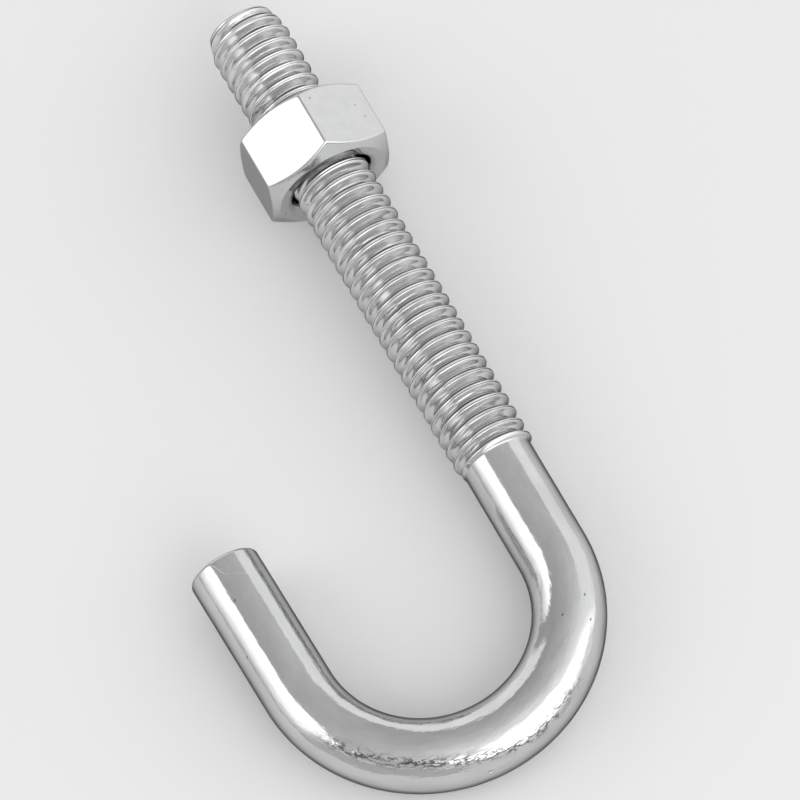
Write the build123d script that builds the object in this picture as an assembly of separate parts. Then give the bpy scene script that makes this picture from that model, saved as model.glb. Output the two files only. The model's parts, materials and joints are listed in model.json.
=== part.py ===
"""Hook bolt: a round steel rod bent into a J, threaded on its long leg, with a hexagon nut run onto the thread.

Lengths are in millimetres and angles in degrees. The bolt is drawn with its hook in the XY plane, its long leg
along +Y and the middle of its bend at the origin. It is then laid down as it comes to rest, on the nut's lowest
corner and the underside of the bend, with the middle of its footprint at the origin of the frame.
"""
import os
from math import asin, atan2, cos, degrees, hypot, radians, sqrt, tan

from build123d import *

# Rod and hook
shank_diameter = 7.1
hook_inside_width = 20.15
overall_length = 80.8
short_leg_straight = 14.5
short_leg_splay = 1.7
leg_end_rounding = 0.4

# Thread on the long leg, drawn at its crest diameter
thread_diameter = 7.94
thread_length = 52.3
thread_runout_length = 1.6
tip_taper_length = 2.2
tip_taper_depth = 0.65

# Hexagon nut
nut_across_flats = 12.7
nut_height = 7.65
nut_chamfer_angle = 30.0
nut_seat_circle_share = 0.9
nut_bore_clearance = 0.06
nut_countersink_depth = 0.55
nut_from_thread_end = 11.8
nut_turn = 4.5

# Worked-out sizes of the rod
shank_radius = shank_diameter / 2
thread_radius = thread_diameter / 2
bend_radius = hook_inside_width / 2 + shank_radius
long_leg_length = overall_length - bend_radius - shank_radius
thread_start = long_leg_length - thread_length

# Worked-out sizes of the nut
nut_corner_radius = nut_across_flats / sqrt(3)
nut_seat_radius = nut_across_flats / 2 * nut_seat_circle_share
nut_chamfer_slope = tan(radians(nut_chamfer_angle))
nut_corner_drop = (nut_corner_radius - nut_seat_radius) * nut_chamfer_slope
nut_bore_radius = thread_radius + nut_bore_clearance
nut_mouth_radius = nut_bore_radius + nut_countersink_depth
nut_seat = long_leg_length - nut_from_thread_end - nut_height

# The long leg's own plane: its Z runs along the leg, from the bend to the thread's end
long_leg = Plane(origin=(bend_radius, 0, 0), x_dir=(1, 0, 0), z_dir=(0, 1, 0))


def turned(profile_points):
    """Solid of revolution about Z of a closed outline given as (radius, height) points."""
    outline = make_face(Polyline(*profile_points, close=True))
    return revolve(Plane.XZ * outline, Axis.Z)


def make_hook_bolt():
    """One rod: plain short leg, bend and plain stretch of the long leg, then the threaded stretch with its tip."""
    neck = Line((bend_radius, thread_start), (bend_radius, 0))
    bend = CenterArc((0, 0), bend_radius, start_angle=0, arc_size=short_leg_splay - 180)
    short_leg = Line(bend @ 1, bend @ 1 + (bend % 1) * short_leg_straight)
    section = Plane(origin=neck @ 0, z_dir=neck % 0) * Circle(shank_radius)
    rod = sweep(section, path=neck + bend + short_leg)
    leg_end = rod.faces().sort_by_distance(short_leg @ 1)[0]
    rod = fillet(leg_end.edges(), leg_end_rounding)
    stud = turned([
        (0, thread_start),
        (shank_radius, thread_start),
        (thread_radius, thread_start + thread_runout_length),
        (thread_radius, long_leg_length - tip_taper_length),
        (thread_radius - tip_taper_depth, long_leg_length),
        (0, long_leg_length),
    ])
    return rod + long_leg * stud


def make_hex_nut():
    """Hexagon nut, both its ends chamfered to a round seat and both mouths of its bore countersunk."""
    prism = extrude(RegularPolygon(nut_corner_radius, side_count=6), nut_height)
    cone_radius = nut_corner_radius + nut_corner_drop
    cone_drop = (cone_radius - nut_seat_radius) * nut_chamfer_slope
    chamfered = turned([
        (0, 0),
        (nut_seat_radius, 0),
        (cone_radius, cone_drop),
        (cone_radius, nut_height - cone_drop),
        (nut_seat_radius, nut_height),
        (0, nut_height),
    ])
    bore = turned([
        (0, 0),
        (nut_mouth_radius, 0),
        (nut_bore_radius, nut_countersink_depth),
        (nut_bore_radius, nut_height - nut_countersink_depth),
        (nut_mouth_radius, nut_height),
        (0, nut_height),
    ])
    nut = (prism & chamfered) - bore
    # One corner points up from the hook's plane, apart from the nut's turn on the thread
    return long_leg * Pos(0, 0, nut_seat) * Rot(0, 0, 90 + nut_turn) * nut


def lie_down(pieces):
    """Tip the bolt about X until the nut's lowest corner and the bend touch the floor, then centre its footprint."""
    corner_along = nut_seat + nut_corner_drop + bend_radius
    corner_below = nut_corner_radius * cos(radians(nut_turn))
    tilt = atan2(corner_below, corner_along) - asin(shank_radius / hypot(corner_below, corner_along))
    tipped = {name: Rot(degrees(tilt), 0, 0) * piece for name, piece in pieces.items()}
    box = Compound(children=[Part() + piece for piece in tipped.values()]).bounding_box()
    to_floor = Pos(-box.center().X, -box.center().Y, -box.min.Z)
    return {name: to_floor * piece for name, piece in tipped.items()}


laid = lie_down({"hook_bolt": make_hook_bolt(), "hex_nut": make_hex_nut()})
os.makedirs("parts", exist_ok=True)
for name, piece in laid.items():
    export_step(piece, f"parts/{name}.step")
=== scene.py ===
import json

import bmesh
import bpy
import numpy as np
from mathutils import Matrix, Vector


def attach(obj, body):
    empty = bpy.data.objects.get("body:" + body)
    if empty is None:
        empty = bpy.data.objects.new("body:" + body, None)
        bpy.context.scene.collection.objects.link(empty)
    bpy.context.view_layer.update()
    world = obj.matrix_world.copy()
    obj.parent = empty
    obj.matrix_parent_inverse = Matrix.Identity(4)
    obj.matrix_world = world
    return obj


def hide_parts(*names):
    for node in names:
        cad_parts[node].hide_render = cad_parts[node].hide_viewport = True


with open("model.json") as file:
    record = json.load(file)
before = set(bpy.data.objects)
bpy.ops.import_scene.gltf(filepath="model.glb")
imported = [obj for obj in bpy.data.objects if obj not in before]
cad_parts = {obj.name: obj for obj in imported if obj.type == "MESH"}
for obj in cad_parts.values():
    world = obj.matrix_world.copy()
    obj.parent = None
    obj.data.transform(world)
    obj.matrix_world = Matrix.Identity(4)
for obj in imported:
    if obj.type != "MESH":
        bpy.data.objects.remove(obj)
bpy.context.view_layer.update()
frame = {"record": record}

# Hook bolt: a drawn bar of mild steel, its long leg thread-rolled and its other end bent cold into a J, then
# bright zinc plated all over. Rolling presses metal up out of the roots, so the crests stand above the plain
# bar, and each keeps a fine seam where the metal of its two flanks met. Sizes are in millimetres.
bar_radius = 3.55
bend_radius = 13.625
bend_angle = np.radians(178.3)
long_leg = 63.625
short_leg = 14.5
leg_end_rounding = 0.4

thread_pitch = 1.5
thread_length = 53.1
crest_radius = 3.97
root_radius = 3.1
crest_half_width = 0.09
root_half_width = 0.04
flank_rounding = 0.06
seam_depth = 0.05
seam_half_width = 0.045
crest_runout = 0.7
root_runout = 1.2
tip_taper_length = 2.2
tip_taper_depth = 0.65
tip_edge = 0.12
tip_edge_middle = 0.035
tip_face_inset = 0.25
tip_face_share = 0.45
first_crest = -0.6
seam_angle = np.radians(-90.0)

# Where the stretched outside of the bend is wrinkled: the distance along the bar and the angle round it.
wrinkle_run = np.array([75.0, 78.4, 81.8, 84.8, 88.2, 91.8, 98.0, 102.0])
wrinkle_angle = np.radians([44.0, 40.0, 35.7, 42.5, 53.5, 59.5, 58.0, 57.0])
wrinkle_spread = np.radians(8.0)
wrinkle_fade = 4.0

mounts = {mount["name"]: mount for mount in frame["record"]["mounts"]}
thread_tip = 1000 * np.array(mounts["threaded_end"]["pos_m"])
along = np.array(mounts["threaded_end"]["axis"])
across = np.array([1.0, 0.0, 0.0])
above = np.cross(across, along)
hook_middle = thread_tip - long_leg * along - bend_radius * across


def laid_down(x, y, z):
    """Carries points of the hook's own plane (x across the legs, y up the long leg, z out of the plane, in
    millimetres) to where the bolt lies on the floor, in metres: middle of the bend + x, y and z times the
    plane's three directions."""
    return (hook_middle + x[..., None] * across + y[..., None] * along + z[..., None] * above) / 1000


def bar_surface(run, angle, radius):
    """Skin of the bar at distance run from the thread's end. The centreline goes down the long leg, round an
    arc about the origin and on along the arc's last tangent: bend radius x outward + straight x onward,
    where the turn is (run - long leg) / bend radius kept between 0 and the whole bend. The skin is that
    point + radius x (cos angle x outward + sin angle x up)."""
    run, angle, radius = np.broadcast_arrays(run, angle, radius)
    turn = np.clip((run - long_leg) / bend_radius, 0, bend_angle)
    straight = run - long_leg - bend_radius * turn
    reach = bend_radius + radius * np.cos(angle)
    x = reach * np.cos(turn) - straight * np.sin(turn)
    y = -reach * np.sin(turn) - straight * np.cos(turn)
    return laid_down(x, y, radius * np.sin(angle))


def thread_phase(run, angle):
    """Turns of the right-hand helix from the first crest: (run - first crest) / pitch - angle / one turn.
    Whole numbers are crests and halves are roots."""
    return (run - first_crest) / thread_pitch - (angle - seam_angle) / (2 * np.pi)


def thread_fill(phase):
    """Share of the thread's depth that is filled with metal: 1 on the crest, 0 in the root and a straight
    flank between them. Its two bends are rounded as k log((1 + e^(u/k)) / (1 + e^((u-1)/k))) rounds those of
    a ramp from 0 to 1."""
    from_crest = np.abs(phase - np.round(phase))
    flank = (from_crest - crest_half_width) / (0.5 - crest_half_width - root_half_width)
    k = flank_rounding
    return 1 - k * (np.logaddexp(0, flank / k) - np.logaddexp(0, (flank - 1) / k))


def ease(x):
    """Smooth step 3x^2 - 2x^3 from 0 to 1."""
    x = np.clip(x, 0, 1)
    return x * x * (3 - 2 * x)


def thread_radius(run, angle):
    """Radius of the threaded leg: root + (crest - root) x fill, less the crest's seam, a narrow bell curve.
    Crest and root both ease into the plain bar where the thread runs out, and the tip's cone cuts what stands
    above it."""
    phase = thread_phase(run, angle)
    crest = bar_radius + (crest_radius - bar_radius) * ease((thread_length - run) / crest_runout)
    root_ease = ease((thread_length - run) / root_runout)
    root = bar_radius + (root_radius - bar_radius) * root_ease
    from_crest = np.abs(phase - np.round(phase))
    seam = seam_depth * np.exp(-(from_crest / seam_half_width) ** 2) * root_ease
    cone = crest_radius - tip_taper_depth * (1 - run / tip_taper_length)
    return np.minimum(root + (crest - root) * thread_fill(phase) - seam, cone)


def closed_rings(rows):
    """Quads between neighbouring rows of a grid of vertex numbers, each row closed on itself."""
    here, beyond = rows[:-1], rows[1:]
    quads = [here, np.roll(here, -1, 1), np.roll(beyond, -1, 1), beyond]
    return np.stack(quads, -1).reshape(-1, 4)


def cap(row, pole):
    """Triangles from a ring of vertex numbers to one pole."""
    return np.stack([row, np.roll(row, -1), np.full_like(row, pole)], -1)


merge_distance = 1e-7


def skin_object(name, points, faces, **attributes):
    """Mesh object from an array of points and arrays of faces, with named values at its points. Points that
    coincide are merged and the faces turned outwards."""
    mesh = bpy.data.meshes.new(name)
    mesh.from_pydata(points.tolist(), [], [face for block in faces for face in block.tolist()])
    for label, values in attributes.items():
        kind = "FLOAT_VECTOR" if values.ndim == 2 else "FLOAT"
        layer = mesh.attributes.new(label, kind, "POINT")
        layer.data.foreach_set("vector" if values.ndim == 2 else "value", values.ravel().astype(np.float32))
    shell = bmesh.new()
    shell.from_mesh(mesh)
    bmesh.ops.remove_doubles(shell, verts=shell.verts, dist=merge_distance)
    bmesh.ops.recalc_face_normals(shell, faces=shell.faces)
    shell.to_mesh(mesh)
    shell.free()
    mesh.polygons.foreach_set("use_smooth", np.ones(len(mesh.polygons), bool))
    piece = bpy.data.objects.new(name, mesh)
    bpy.context.scene.collection.objects.link(piece)
    return piece


# Rows of the thread are sheared along its helix, so that every crest is one run of edges, and they crowd at
# the crests and roots. A row that would pass an end of the thread is stopped there.
columns = 88
side = np.arange(columns) / columns
bar_angle = seam_angle + 2 * np.pi * side
half_turn = np.array([0, 0.02, 0.04, 0.06, 0.085, 0.115, 0.16, 0.25, 0.34, 0.4, 0.44, 0.47, 0.5])
one_turn = np.concatenate([half_turn, 1 - half_turn[-2:0:-1]])
rows_per_turn = len(one_turn)
turns = np.arange(int(np.ceil((thread_length - first_crest) / thread_pitch)) + 2)
steps = (turns[:, None] + one_turn).ravel()
thread_run = np.clip(first_crest + thread_pitch * (steps[:, None] - 1 + side), tip_edge, thread_length)
thread_rows = thread_radius(thread_run, bar_angle)

# The thread's cut end: three rings on its flat face, then one half way round its rounded edge.
rim = thread_rows[0]
tip_run = np.repeat([0.0, 0.0, 0.0, tip_edge_middle], columns).reshape(4, columns)
tip_rows = np.stack([tip_face_share * rim, rim - tip_face_inset, rim - tip_edge, rim - tip_edge_middle])

bend_length = bend_radius * bend_angle
bar_length = long_leg + bend_length + short_leg
rounding = np.linspace(0, np.pi / 2, 9)
leg_face = np.array([bar_radius - 0.5, bar_radius - 0.7, 0.4 * bar_radius])
full_run = np.concatenate([
    np.linspace(thread_length, long_leg, 14)[1:],
    np.linspace(long_leg, long_leg + bend_length, 110)[1:],
    np.linspace(long_leg + bend_length, bar_length - leg_end_rounding, 17)[1:-1],
])
edge_run = bar_length - leg_end_rounding + leg_end_rounding * np.sin(rounding)
edge_radius = bar_radius - leg_end_rounding * (1 - np.cos(rounding))
plain_run = np.concatenate([full_run, edge_run, np.full_like(leg_face, bar_length)])
plain_radius = np.concatenate([np.full_like(full_run, bar_radius), edge_radius, leg_face])

run = np.concatenate([tip_run, thread_run, np.repeat(plain_run[:, None], columns, 1)])
radius = np.concatenate([tip_rows, thread_rows, np.repeat(plain_radius[:, None], columns, 1)])


def with_poles(values, first, last):
    """Values on the bar's grid as one list, with those of its two poles added at the end."""
    poles = np.array([first, last], float)
    return np.concatenate([values.reshape(-1, *poles.shape[1:]), poles])


first_pole, last_pole = bar_surface(np.array([0.0, bar_length]), 0.0, 0.0)
skin = with_poles(bar_surface(run, bar_angle, radius), first_pole, last_pole)

number = np.arange(run.size).reshape(run.shape)
threaded = number[len(tip_run):len(tip_run) + len(thread_run)]
next_turn = np.minimum(np.arange(len(threaded)) + rows_per_turn, len(threaded) - 1)
threaded = np.concatenate([threaded, threaded[next_turn, :1]], 1)
helix_faces = np.stack([threaded[:-1, :-1], threaded[:-1, 1:], threaded[1:, 1:], threaded[1:, :-1]], -1)
bar_faces = [
    cap(number[0], run.size),
    closed_rings(number[:len(tip_run) + 1]),
    helix_faces.reshape(-1, 4),
    closed_rings(number[len(tip_run) + len(thread_run) - 1:]),
    cap(number[-1], run.size + 1),
]

# The bar's marks were drawn along it before it was bent, so they follow it as if it were still straight. The
# bend eases in a little before its ends, and nothing that rolling left reaches the cut end of the thread.
bend_lead, bend_fade = 3.0, 8.0
rolled_fade, root_shade_fade = 0.6, 1.5
# Painted shade in the thread's roots: the fill under which, and the ramp over which, the roots are darkened.
root_shade_fill, root_shade_ramp = 0.2, 0.18
arc = np.broadcast_to(bar_radius * bar_angle, run.shape)
level = np.zeros_like(run)
phase = thread_phase(run, bar_angle)
past_tip = ease(run / tip_edge)
straight_bar = np.stack([radius * np.cos(bar_angle), radius * np.sin(bar_angle), run], -1)
bent = ease((run - long_leg + bend_lead) / bend_fade)
bent = bent * ease((long_leg + bend_length + bend_lead - run) / bend_fade)
from_wrinkles = (bar_angle - np.interp(run, wrinkle_run, wrinkle_angle)) / wrinkle_spread
wrinkle_ends = ease((run - wrinkle_run[0]) / wrinkle_fade) * ease((wrinkle_run[-1] - run) / wrinkle_fade)
stretched = np.exp(-from_wrinkles ** 2) * wrinkle_ends
rolled = ease((thread_length - run) / rolled_fade) * past_tip
rolling_way = np.stack([thread_pitch * phase, arc, level], -1)
# Painted shade: the thread's roots are darkened where the fill is low, standing in for the shade that falls
# in them. It fades out at the tip and where the thread runs out.
root_grease = ease((root_shade_fill - thread_fill(phase)) / root_shade_ramp) * past_tip
root_grease = root_grease * ease((thread_length - run) / root_shade_fade)
on_bar = np.stack([run, arc, level], -1)
nowhere = (0, 0, 0)
hook_bolt = skin_object(
    "hook_bolt_skin", skin, bar_faces,
    straight_bar=with_poles(straight_bar, nowhere, (0, 0, bar_length)), bent=with_poles(bent, 0, 0),
    rolled=with_poles(rolled, 0, 0), rolling_way=with_poles(rolling_way, nowhere, nowhere),
    root_grease=with_poles(root_grease, 0, 0), stretched=with_poles(stretched, 0, 0),
    on_bar=with_poles(on_bar, nowhere, (bar_length, 0, 0)))


def new_node(tree, kind, **inputs):
    """New node of a tree with the inputs named here set. An underscore stands for a space in a name."""
    node = tree.nodes.new(kind)
    for label, value in inputs.items():
        node.inputs[label.replace("_", " ")].default_value = value
    return node


def plating_marks():
    """Node group of the marks in bright zinc: a soft mottle, a fine ripple of the surface, and sparse pits
    where the nearest of scattered points is close and a slow noise lets them show. Place is in
    millimetres."""
    group = bpy.data.node_groups.new("plating_marks", "ShaderNodeTree")
    group.interface.new_socket("Place", in_out="INPUT", socket_type="NodeSocketVector")
    for label, value in (("Mottle Scale", 0.6), ("Ripple Scale", 2.0), ("Pit Scale", 0.5),
                         ("Pit Size", 0.06)):
        socket = group.interface.new_socket(label, in_out="INPUT", socket_type="NodeSocketFloat")
        socket.default_value = value
    for label in ("Mottle", "Ripple", "Pits"):
        group.interface.new_socket(label, in_out="OUTPUT", socket_type="NodeSocketFloat")
    new, link = group.nodes.new, group.links.new
    given, out = new("NodeGroupInput"), new("NodeGroupOutput")

    mottle = new_node(group, "ShaderNodeTexNoise", Detail=4, Roughness=0.6)
    ripple = new_node(group, "ShaderNodeTexNoise", Detail=3, Roughness=0.5)
    spots = new("ShaderNodeTexVoronoi")
    gate = new_node(group, "ShaderNodeTexNoise", Scale=0.11)
    for node, scale in ((mottle, "Mottle Scale"), (ripple, "Ripple Scale"), (spots, "Pit Scale")):
        link(given.outputs["Place"], node.inputs["Vector"])
        link(given.outputs[scale], node.inputs["Scale"])
    link(given.outputs["Place"], gate.inputs["Vector"])

    near = new_node(group, "ShaderNodeMapRange", From_Min=0, To_Min=1, To_Max=0)
    link(spots.outputs["Distance"], near.inputs["Value"])
    link(given.outputs["Pit Size"], near.inputs["From Max"])
    shown = new_node(group, "ShaderNodeMapRange", From_Min=0.5, From_Max=0.6)
    link(gate.outputs["Fac"], shown.inputs["Value"])
    pits = new("ShaderNodeMath")
    pits.operation = "MULTIPLY"
    link(near.outputs["Result"], pits.inputs[0])
    link(shown.outputs["Result"], pits.inputs[1])
    link(mottle.outputs["Fac"], out.inputs["Mottle"])
    link(ripple.outputs["Fac"], out.inputs["Ripple"])
    link(pits.outputs["Value"], out.inputs["Pits"])
    return group


plating = plating_marks()
burnished_colour = (0.81, 0.813, 0.817, 1)
# Dark colour for stains, pits and specks, and for painted shade.
stain_and_shade_colour = (0.13, 0.13, 0.135, 1)
pit_roughness, pit_depth = 0.3, 4.0
mark_depth = 3e-5


def bright_zinc(name, light, dark, smooth, dull, rim):
    """Material of plated steel. The group's mottle runs the colour from dark to light and the roughness from
    smooth to dull, and pits darken, roughen and sink it. A rim under 1 darkens what the metal mirrors at a
    glancing angle. Returns the material, its node tree, the node of the marks, and the sockets that a piece
    links its own pattern into: a burnish that lightens the colour, a darkening that carries both stains and
    painted shade, and a roughness and height to add."""
    material = bpy.data.materials.new(name)
    material.use_nodes = True
    tree = material.node_tree
    tree.nodes.clear()
    new, link = tree.nodes.new, tree.links.new
    marks = new("ShaderNodeGroup")
    marks.node_tree = plating
    tone = new("ShaderNodeValToRGB")
    for stop, position, colour in zip(tone.color_ramp.elements, (0.35, 0.65), (dark, light)):
        stop.position = position
        stop.color = (*colour, 1)
    stain_and_shade = new("ShaderNodeMath")
    stain_and_shade.operation, stain_and_shade.use_clamp = "ADD", True
    burnished, stained_and_shaded = new("ShaderNodeMix"), new("ShaderNodeMix")
    burnished.data_type = stained_and_shaded.data_type = "RGBA"
    burnished.inputs["Factor"].default_value = 0
    burnished.inputs["B"].default_value = burnished_colour
    stained_and_shaded.inputs["B"].default_value = stain_and_shade_colour
    polish = new_node(tree, "ShaderNodeMapRange", From_Min=0.3, From_Max=0.7, To_Min=smooth, To_Max=dull)
    pit_rough, own_rough, pit_height = (new("ShaderNodeMath") for _ in range(3))
    pit_rough.operation = pit_height.operation = "MULTIPLY_ADD"
    pit_rough.inputs[1].default_value = pit_roughness
    pit_height.inputs[1].default_value = -pit_depth
    bump = new_node(tree, "ShaderNodeBump", Strength=1.0, Distance=mark_depth)
    metal = new_node(tree, "ShaderNodeBsdfPrincipled", Metallic=1.0, Specular_Tint=(rim, rim, rim, 1))
    surface = new("ShaderNodeOutputMaterial")
    link(marks.outputs["Mottle"], tone.inputs["Fac"])
    link(marks.outputs["Pits"], stain_and_shade.inputs[0])
    link(tone.outputs["Color"], burnished.inputs["A"])
    link(burnished.outputs["Result"], stained_and_shaded.inputs["A"])
    link(stain_and_shade.outputs["Value"], stained_and_shaded.inputs["Factor"])
    link(stained_and_shaded.outputs["Result"], metal.inputs["Base Color"])
    link(marks.outputs["Mottle"], polish.inputs["Value"])
    link(marks.outputs["Pits"], pit_rough.inputs[0])
    link(polish.outputs["Result"], pit_rough.inputs[2])
    link(pit_rough.outputs["Value"], own_rough.inputs[0])
    link(own_rough.outputs["Value"], metal.inputs["Roughness"])
    link(marks.outputs["Pits"], pit_height.inputs[0])
    link(pit_height.outputs["Value"], bump.inputs["Height"])
    link(bump.outputs["Normal"], metal.inputs["Normal"])
    link(metal.outputs["BSDF"], surface.inputs["Surface"])
    for socket in (stain_and_shade.inputs[1], own_rough.inputs[1], pit_height.inputs[2]):
        socket.default_value = 0
    return (material, tree, marks, burnished.inputs["Factor"], stain_and_shade.inputs[1], own_rough.inputs[1],
            pit_height.inputs[2])


def attribute(tree, name, output):
    """Output of an Attribute node that reads one of the mesh's own named values."""
    node = tree.nodes.new("ShaderNodeAttribute")
    node.attribute_name = name
    return node.outputs[output]


def calc(tree, operation, *values):
    """Math node whose inputs are sockets or numbers, in order. Returns its output."""
    node = tree.nodes.new("ShaderNodeMath")
    node.operation = operation
    for socket, value in zip(node.inputs, values):
        if isinstance(value, (int, float)):
            socket.default_value = value
        else:
            tree.links.new(value, socket)
    return node.outputs["Value"]


def mark(tree, place, start, end, half_width):
    """Mask of one fine mark: 1 on the line from start to end, falling straight to 0 at half_width beside it.
    With d = place - start and e = end - start, the distance from the line is the length of
    d - e x (d . e / e . e kept between 0 and 1)."""
    start, reach = Vector(start), Vector(end) - Vector(start)
    steps = [tree.nodes.new("ShaderNodeVectorMath") for _ in range(5)]
    for node, operation in zip(steps, ("SUBTRACT", "DOT_PRODUCT", "SCALE", "SUBTRACT", "LENGTH")):
        node.operation = operation
    away, along_mark, foot, beside, distance = steps
    away.inputs[1].default_value = start
    along_mark.inputs[1].default_value = reach / reach.length_squared
    foot.inputs[0].default_value = reach
    kept = tree.nodes.new("ShaderNodeClamp")
    fall = new_node(tree, "ShaderNodeMapRange", From_Min=0.0, From_Max=half_width, To_Min=1.0, To_Max=0.0)
    for output, socket in (
            (place, away.inputs[0]),
            (away.outputs["Vector"], along_mark.inputs[0]),
            (along_mark.outputs["Value"], kept.inputs["Value"]),
            (kept.outputs["Result"], foot.inputs["Scale"]),
            (away.outputs["Vector"], beside.inputs[0]),
            (foot.outputs["Vector"], beside.inputs[1]),
            (beside.outputs["Vector"], distance.inputs[0]),
            (distance.outputs["Value"], fall.inputs["Value"])):
        tree.links.new(output, socket)
    return fall.outputs["Result"]


def speckled(tree, shade_and_dirt, place, specks, half_width):
    """Mask of painted shade and dirt, with a short speck of dirt added at each of the places given."""
    for speck in specks:
        shade_and_dirt = calc(tree, "MAXIMUM", shade_and_dirt, mark(tree, place, speck, Vector(speck) + speck_reach, half_width))
    return shade_and_dirt


# On the bar the marks are drawn out along it, the bend is wrinkled, most where its outside was stretched,
# with painted shade along the folds of its wrinkles, and the thread has lines along its helix from the
# rolling dies and painted shade darkening its roots. A bent scratch crosses the short leg near its end, and a
# few specks lie on the bend and the short leg. Their places are the distance along the bar and the way round
# it, on the bar unrolled.
scratch = ((119.94, 4.58, 0), (118.58, 5.14, 0), (117.70, 6.94, 0))
specks = ((115.76, 4.62, 0), (110.58, 2.54, 0), (69.59, 3.78, 0), (71.65, 5.86, 0), (71.65, 3.10, 0))
speck_reach = Vector((0.12, 0.05, 0))
scratch_half_width, speck_half_width = 0.09, 0.13
scratch_roughness, thread_roughness = 0.4, 0.1
thread_burnish, root_shade_darkness = 0.55, 0.4
line_height, wrinkle_height = 2.2, 9.0
ripple_height, bend_ripple_height = 0.6, 0.6
# Level and half width of the wrinkle noise at which its folds get painted shade.
fold_level, fold_half_width = 0.5, 0.03
bar_zinc, tree, marks, own_burnish, own_stain_and_shade, own_rough, own_height = bright_zinc(
    "zinc_on_bar", light=(0.65, 0.653, 0.657), dark=(0.58, 0.583, 0.588), smooth=0.07, dull=0.13,
    rim=0.15)
drawn_out = new_node(tree, "ShaderNodeMapping", Scale=(1, 1, 0.35))
marks.inputs["Ripple Scale"].default_value = 1.6
tree.links.new(attribute(tree, "straight_bar", "Vector"), drawn_out.inputs["Vector"])
tree.links.new(drawn_out.outputs["Vector"], marks.inputs["Place"])
rolling_stretch = new_node(tree, "ShaderNodeMapping", Scale=(1, 0.14, 1))
rolling_lines = new_node(tree, "ShaderNodeTexWave", Scale=0.63, Distortion=3.2, Detail=2.0, Detail_Scale=1.6)
tree.links.new(attribute(tree, "rolling_way", "Vector"), rolling_stretch.inputs["Vector"])
tree.links.new(rolling_stretch.outputs["Vector"], rolling_lines.inputs["Vector"])
on_thread = attribute(tree, "rolled", "Fac")
on_bar_place = attribute(tree, "on_bar", "Vector")
wrinkle_stretch = new_node(tree, "ShaderNodeMapping", Scale=(0.7, 1.5, 1))
wrinkle_noise = new_node(tree, "ShaderNodeTexNoise", Scale=1.0, Detail=3.0)
tree.links.new(on_bar_place, wrinkle_stretch.inputs["Vector"])
tree.links.new(wrinkle_stretch.outputs["Vector"], wrinkle_noise.inputs["Vector"])
on_stretch = attribute(tree, "stretched", "Fac")
waviness = calc(tree, "MULTIPLY_ADD", attribute(tree, "bent", "Fac"), bend_ripple_height, ripple_height)
waves = calc(tree, "MULTIPLY", marks.outputs["Ripple"], waviness)
lines = calc(tree, "MULTIPLY", rolling_lines.outputs["Fac"], on_thread)
wrinkles = calc(tree, "MULTIPLY", wrinkle_noise.outputs["Fac"], on_stretch)
height = calc(tree, "MULTIPLY_ADD", lines, line_height, waves)
tree.links.new(calc(tree, "MULTIPLY_ADD", wrinkles, wrinkle_height, height), own_height)
scratched = calc(tree, "MAXIMUM", mark(tree, on_bar_place, scratch[0], scratch[1], scratch_half_width),
                 mark(tree, on_bar_place, scratch[1], scratch[2], scratch_half_width))
rough = calc(tree, "MULTIPLY", on_thread, thread_roughness)
tree.links.new(calc(tree, "MULTIPLY_ADD", scratched, scratch_roughness, rough), own_rough)
# Painted shade: thin dark lines along the folds of the bend's wrinkles, where shade falls between them.
painted_fold_shade = calc(tree, "COMPARE", wrinkle_noise.outputs["Fac"], fold_level, fold_half_width)
# Painted shade in the thread's roots, darkening the colour where the grooves are shaded.
grease = calc(tree, "MULTIPLY", attribute(tree, "root_grease", "Fac"), root_shade_darkness)
shade_and_dirt = calc(tree, "MULTIPLY_ADD", painted_fold_shade, on_stretch, grease)
tree.links.new(speckled(tree, shade_and_dirt, on_bar_place, specks, speck_half_width), own_stain_and_shade)
tree.links.new(calc(tree, "MULTIPLY", on_thread, thread_burnish), own_burnish)
hook_bolt.data.materials.append(bar_zinc)
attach(hook_bolt, "bolt")
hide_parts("hook_bolt")

# Hexagon nut: cold-formed steel, chamfered to a round seat at both ends, tapped right through and zinc plated
# as the bolt is. It is run on to the thread and held there by nothing but the thread.
nut_flat_radius = 6.35
nut_height = 7.65
nut_seat = 44.175
nut_seat_radius = 5.715
nut_turn = np.radians(4.5)
chamfer_rise = 1 / np.tan(np.radians(30.0))
corner_sharpness = 130
chamfer_sharpness = 80
bore_radius = 4.03
mouth_radius = 4.58
groove_depth = 0.34
groove_fade = 0.8
# How dark the bore's colour is painted, as shade inside the nut.
bore_shade_darkness = 0.8
nut_ripple_height = 0.6
nut_specks = ((17.826, 23.541, 11.323), (17.514, 24.951, 11.628))
nut_speck_half_width = 0.1


def nut_outside(angle, height):
    """Distance from the nut's axis to its outside. Each of the six flats and both chamfer cones allow a
    radius; the outside is the power mean 1 / (sum of (1 / radius)^n)^(1/n) of them, a smallest value whose
    edges are softly rounded. The corners between the flats are crisper than the edges of the chamfers."""
    flat_turns = nut_turn + np.arange(-1, 5) * np.pi / 3
    facing = np.clip(np.cos(angle[..., None] + flat_turns), 1e-6, None) / nut_flat_radius
    from_end = np.minimum(height, nut_height - height)
    cone = 1 / (nut_seat_radius + chamfer_rise * from_end)
    hexagon = (facing ** corner_sharpness).sum(-1) ** (1 / corner_sharpness)
    return (hexagon ** chamfer_sharpness + cone ** chamfer_sharpness) ** (-1 / chamfer_sharpness)


# The section runs up the bore, out over one end, down the outside and in over the other end, and closes. Its
# columns crowd at the corners, and the bore's grooves follow the bolt's own crests.
nut_columns = 252
corner_crowding = 0.7
lap = 2 * np.pi * np.arange(nut_columns) / nut_columns
nut_angle = np.pi / 2 - nut_turn + lap - corner_crowding * np.sin(6 * lap) / 6
bore_height = np.linspace(mouth_radius - bore_radius, nut_height - mouth_radius + bore_radius, 70)
outer_height = nut_height * (0.5 + 0.5 * np.cos(np.linspace(0, np.pi, 81)))
seat_share = np.array([0.02, 0.3, 0.7, 0.96])

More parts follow.
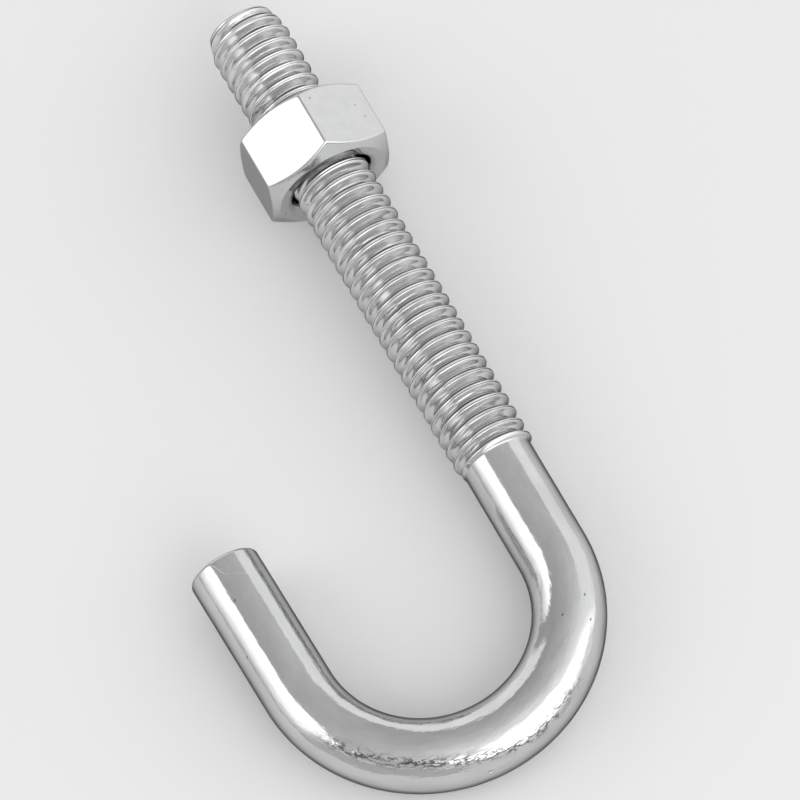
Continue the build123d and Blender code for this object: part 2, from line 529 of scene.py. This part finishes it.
grooves = thread_fill(thread_phase(long_leg - nut_seat - bore_height[:, None], nut_angle))
from_mouth = np.minimum(bore_height - bore_height[0], bore_height[-1] - bore_height)
inner_end = ease(from_mouth / groove_fade)[:, None]
bore = bore_radius + groove_depth * grooves * inner_end
outside = nut_outside(np.broadcast_to(nut_angle, (len(outer_height), nut_columns)), outer_height[:, None])
upper_seat = mouth_radius + seat_share[:, None] * (outside[0] - mouth_radius)
lower_seat = mouth_radius + seat_share[::-1, None] * (outside[-1] - mouth_radius)
nut_radius = np.concatenate([bore, upper_seat, outside, lower_seat])
nut_level = np.concatenate([bore_height, np.full_like(seat_share, nut_height), outer_height, 0 * seat_share])
nut_along = np.broadcast_to(nut_seat + nut_level[:, None], nut_radius.shape)
nut_across, nut_above = bend_radius + nut_radius * np.cos(nut_angle), nut_radius * np.sin(nut_angle)
nut_points = laid_down(nut_across, nut_along, nut_above)
nut_number = np.arange(nut_radius.size).reshape(nut_radius.shape)
nut_faces = closed_rings(np.concatenate([nut_number, nut_number[:1]]))
# Where the bore takes painted shade: all of it but its eased mouths.
tapped = np.zeros(nut_radius.shape)
tapped[:len(bore_height)] = inner_end
hex_nut = skin_object("hex_nut_skin", nut_points.reshape(-1, 3), [nut_faces], tapped=tapped.ravel())

nut_zinc, tree, marks, own_burnish, own_stain_and_shade, own_rough, own_height = bright_zinc(
    "zinc_on_nut", light=(0.645, 0.648, 0.652), dark=(0.61, 0.613, 0.617), smooth=0.08, dull=0.13,
    rim=0.5)
millimetres = new_node(tree, "ShaderNodeMapping", Scale=(1000, 1000, 1000))
marks.inputs["Ripple Scale"].default_value = 0.7
tree.links.new(tree.nodes.new("ShaderNodeTexCoord").outputs["Object"], millimetres.inputs["Vector"])
tree.links.new(millimetres.outputs["Vector"], marks.inputs["Place"])
tree.links.new(calc(tree, "MULTIPLY", marks.outputs["Ripple"], nut_ripple_height), own_height)
# Painted shade: the inside of the bore is darkened, standing in for the shade that falls in it.
shade_and_dirt = calc(tree, "MULTIPLY", attribute(tree, "tapped", "Fac"), bore_shade_darkness)
shade_and_dirt = speckled(tree, shade_and_dirt, millimetres.outputs["Vector"], nut_specks, nut_speck_half_width)
tree.links.new(shade_and_dirt, own_stain_and_shade)
hex_nut.data.materials.append(nut_zinc)
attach(hex_nut, "nut")
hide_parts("hex_nut")

# Floor: a wide sheet of matt white card that the bolt lies on, held by nothing. Its tone drifts a little, as
# that of a painted card does.
floor_reach = 4.0
floor_corners = [(x * floor_reach, y * floor_reach, 0) for x, y in ((-1, -1), (1, -1), (1, 1), (-1, 1))]
floor_mesh = bpy.data.meshes.new("floor")
floor_mesh.from_pydata(floor_corners, [], [(0, 1, 2, 3)])
floor = bpy.data.objects.new("floor", floor_mesh)
bpy.context.scene.collection.objects.link(floor)
card = bpy.data.materials.new("white_card")
card.use_nodes = True
card_tree = card.node_tree
card_drift = new_node(card_tree, "ShaderNodeTexNoise", Scale=3.0)
card_tone = card_tree.nodes.new("ShaderNodeValToRGB")
card_tone.color_ramp.elements[0].color = (0.79, 0.79, 0.79, 1)
card_tone.color_ramp.elements[1].color = (0.81, 0.81, 0.81, 1)
card_place = card_tree.nodes.new("ShaderNodeTexCoord")
card_face = card_tree.nodes["Principled BSDF"]
card_face.inputs["Roughness"].default_value = 0.9
card_face.inputs["Specular IOR Level"].default_value = 0.1
card_tree.links.new(card_place.outputs["Object"], card_drift.inputs["Vector"])
card_tree.links.new(card_drift.outputs["Fac"], card_tone.inputs["Fac"])
card_tree.links.new(card_tone.outputs["Color"], card_face.inputs["Base Color"])
floor_mesh.materials.append(card)

# Studio: a room lit softly by its walls, which the plating mirrors. The ceiling brightens towards a wide
# front panel that stops short of the floor, a bright panel on the left ends sharply overhead and fades to the
# floor, and the right and back walls are pale up to their corner.
room_brightest = 1.8
wall_tone, corner_tone, foot_tone = (tone / room_brightest for tone in (1.08, 0.6, 0.6))
front_lean_x, front_lean_y = 0.35, -0.9
ceiling_back, ceiling_front = -0.75, 0.65
ceiling_stops = ((-0.66, 0.46), (-0.45, 0.53), (-0.25, 0.60), (0.0, 0.72), (0.25, 0.95), (0.45, 1.2),
                 (0.57, 1.8))
room = bpy.data.worlds.new("studio_room")
bpy.context.scene.world = room
room.use_nodes = True
room_tree = room.node_tree
room_way = room_tree.nodes.new("ShaderNodeTexCoord")
room_split = room_tree.nodes.new("ShaderNodeSeparateXYZ")
room_tree.links.new(room_way.outputs["Generated"], room_split.inputs["Vector"])
way_x, way_y, way_z = (room_split.outputs[axis] for axis in "XYZ")


def room_step(value, start, end, low=0.0, high=1.0, smooth=True):
    """Map Range node in the room's tree: low before start, high after end, and a smooth step or straight ramp
    between. Returns its output."""
    node = new_node(room_tree, "ShaderNodeMapRange", From_Min=start, From_Max=end, To_Min=low, To_Max=high)
    node.interpolation_type = "SMOOTHSTEP" if smooth else "LINEAR"
    room_tree.links.new(value, node.inputs["Value"])
    return node.outputs["Result"]


def room_blend(mask, tone, other):
    """Mix node in the room's tree: tone where the mask is 0 and other, a socket or number, where it is 1."""
    node = room_tree.nodes.new("ShaderNodeMix")
    node.data_type = "FLOAT"
    room_tree.links.new(mask, node.inputs["Factor"])
    room_tree.links.new(tone, node.inputs["A"])
    if isinstance(other, float):
        node.inputs["B"].default_value = other
    else:
        room_tree.links.new(other, node.inputs["B"])
    return node.outputs["Result"]


to_front = calc(room_tree, "MULTIPLY_ADD", way_y, front_lean_y,
                calc(room_tree, "MULTIPLY", way_x, front_lean_x))
ceiling = room_tree.nodes.new("ShaderNodeValToRGB")
for index, (front, brightness) in enumerate(ceiling_stops):
    position = (front - ceiling_back) / (ceiling_front - ceiling_back)
    grey = brightness / room_brightest
    if index < 2:
        stop = ceiling.color_ramp.elements[index]
        stop.position = position
    else:
        stop = ceiling.color_ramp.elements.new(position)
    stop.color = (grey, grey, grey, 1)
ceiling_place = room_step(to_front, ceiling_back, ceiling_front, smooth=False)
room_tree.links.new(ceiling_place, ceiling.inputs["Fac"])
front_left = calc(room_tree, "MULTIPLY", room_step(way_x, -0.2, -0.4), room_step(way_y, 0.0, -0.3))
front_foot = calc(room_tree, "MULTIPLY", room_step(way_z, 0.34, 0.14), room_step(to_front, 0.5, 0.7))
left_panel = calc(room_tree, "MULTIPLY", room_step(way_x, -0.50, -0.55), room_step(way_y, -0.2, 0.05))
left_tone = room_step(way_z, 0.0, 0.52, low=0.5 / room_brightest, smooth=False)
room_light = ceiling.outputs["Color"]
for mask, tone in ((front_left, corner_tone), (front_foot, foot_tone), (left_panel, left_tone)):
    room_light = room_blend(mask, room_light, tone)
right_wall = room_step(way_x, 0.68, 0.73, high=wall_tone)
back_wall = calc(room_tree, "MULTIPLY", room_step(way_y, 0.74, 0.80, high=wall_tone),
                 room_step(way_x, -0.45, -0.3))
wall_corner = room_step(calc(room_tree, "ADD", way_x, way_y), 1.20, 1.27, high=wall_tone)
for wall in (right_wall, back_wall, wall_corner):
    room_light = calc(room_tree, "MAXIMUM", room_light, wall)
room_tree.links.new(room_light, room_tree.nodes["Background"].inputs["Color"])
room_tree.nodes["Background"].inputs["Strength"].default_value = room_brightest

lamp_width, lamp_distance, lamp_level = 0.3, 0.6, 0.9
front_lamp = bpy.data.lights.new("front_box", "AREA")
front_lamp.size = lamp_width
front_lamp.energy = np.pi * lamp_width ** 2 * lamp_level
front_box = bpy.data.objects.new("front_box", front_lamp)
front_way = Vector((0.1, -0.8, 0.6)).normalized()
front_box.location = lamp_distance * front_way
front_box.rotation_euler = front_way.to_track_quat("Z", "Y").to_euler()
front_box.visible_camera = False
bpy.context.scene.collection.objects.link(front_box)

# Camera: looks down on the bolt from in front with a long lens, turned so that the bolt lies across the
# frame. Its place and angles are those that fit the photograph.
look_azimuth, look_elevation, look_roll = np.radians([-13.3585, 62.6445, -16.0696])
look_at = Vector((0.0073175, -0.0020108, 0.005))
look_distance = 0.68845
focal_length, film_width = 325.79, 36.0
back = Vector((np.sin(look_azimuth) * np.cos(look_elevation), -np.cos(look_azimuth) * np.cos(look_elevation),
               np.sin(look_elevation)))
sideways = Vector((np.cos(look_azimuth), np.sin(look_azimuth), 0))
rise = back.cross(sideways)
right = np.cos(look_roll) * sideways + np.sin(look_roll) * rise
up = back.cross(right)
lens = bpy.data.cameras.new("camera")
lens.lens, lens.sensor_width = focal_length, film_width
lens.clip_start = 0.05
camera = bpy.data.objects.new("camera", lens)
facing = Matrix((right, up, back)).transposed().to_4x4()
camera.matrix_world = Matrix.Translation(look_at + look_distance * back) @ facing
bpy.context.scene.collection.objects.link(camera)
bpy.context.scene.camera = camera
bpy.context.scene.view_settings.view_transform = "Standard"
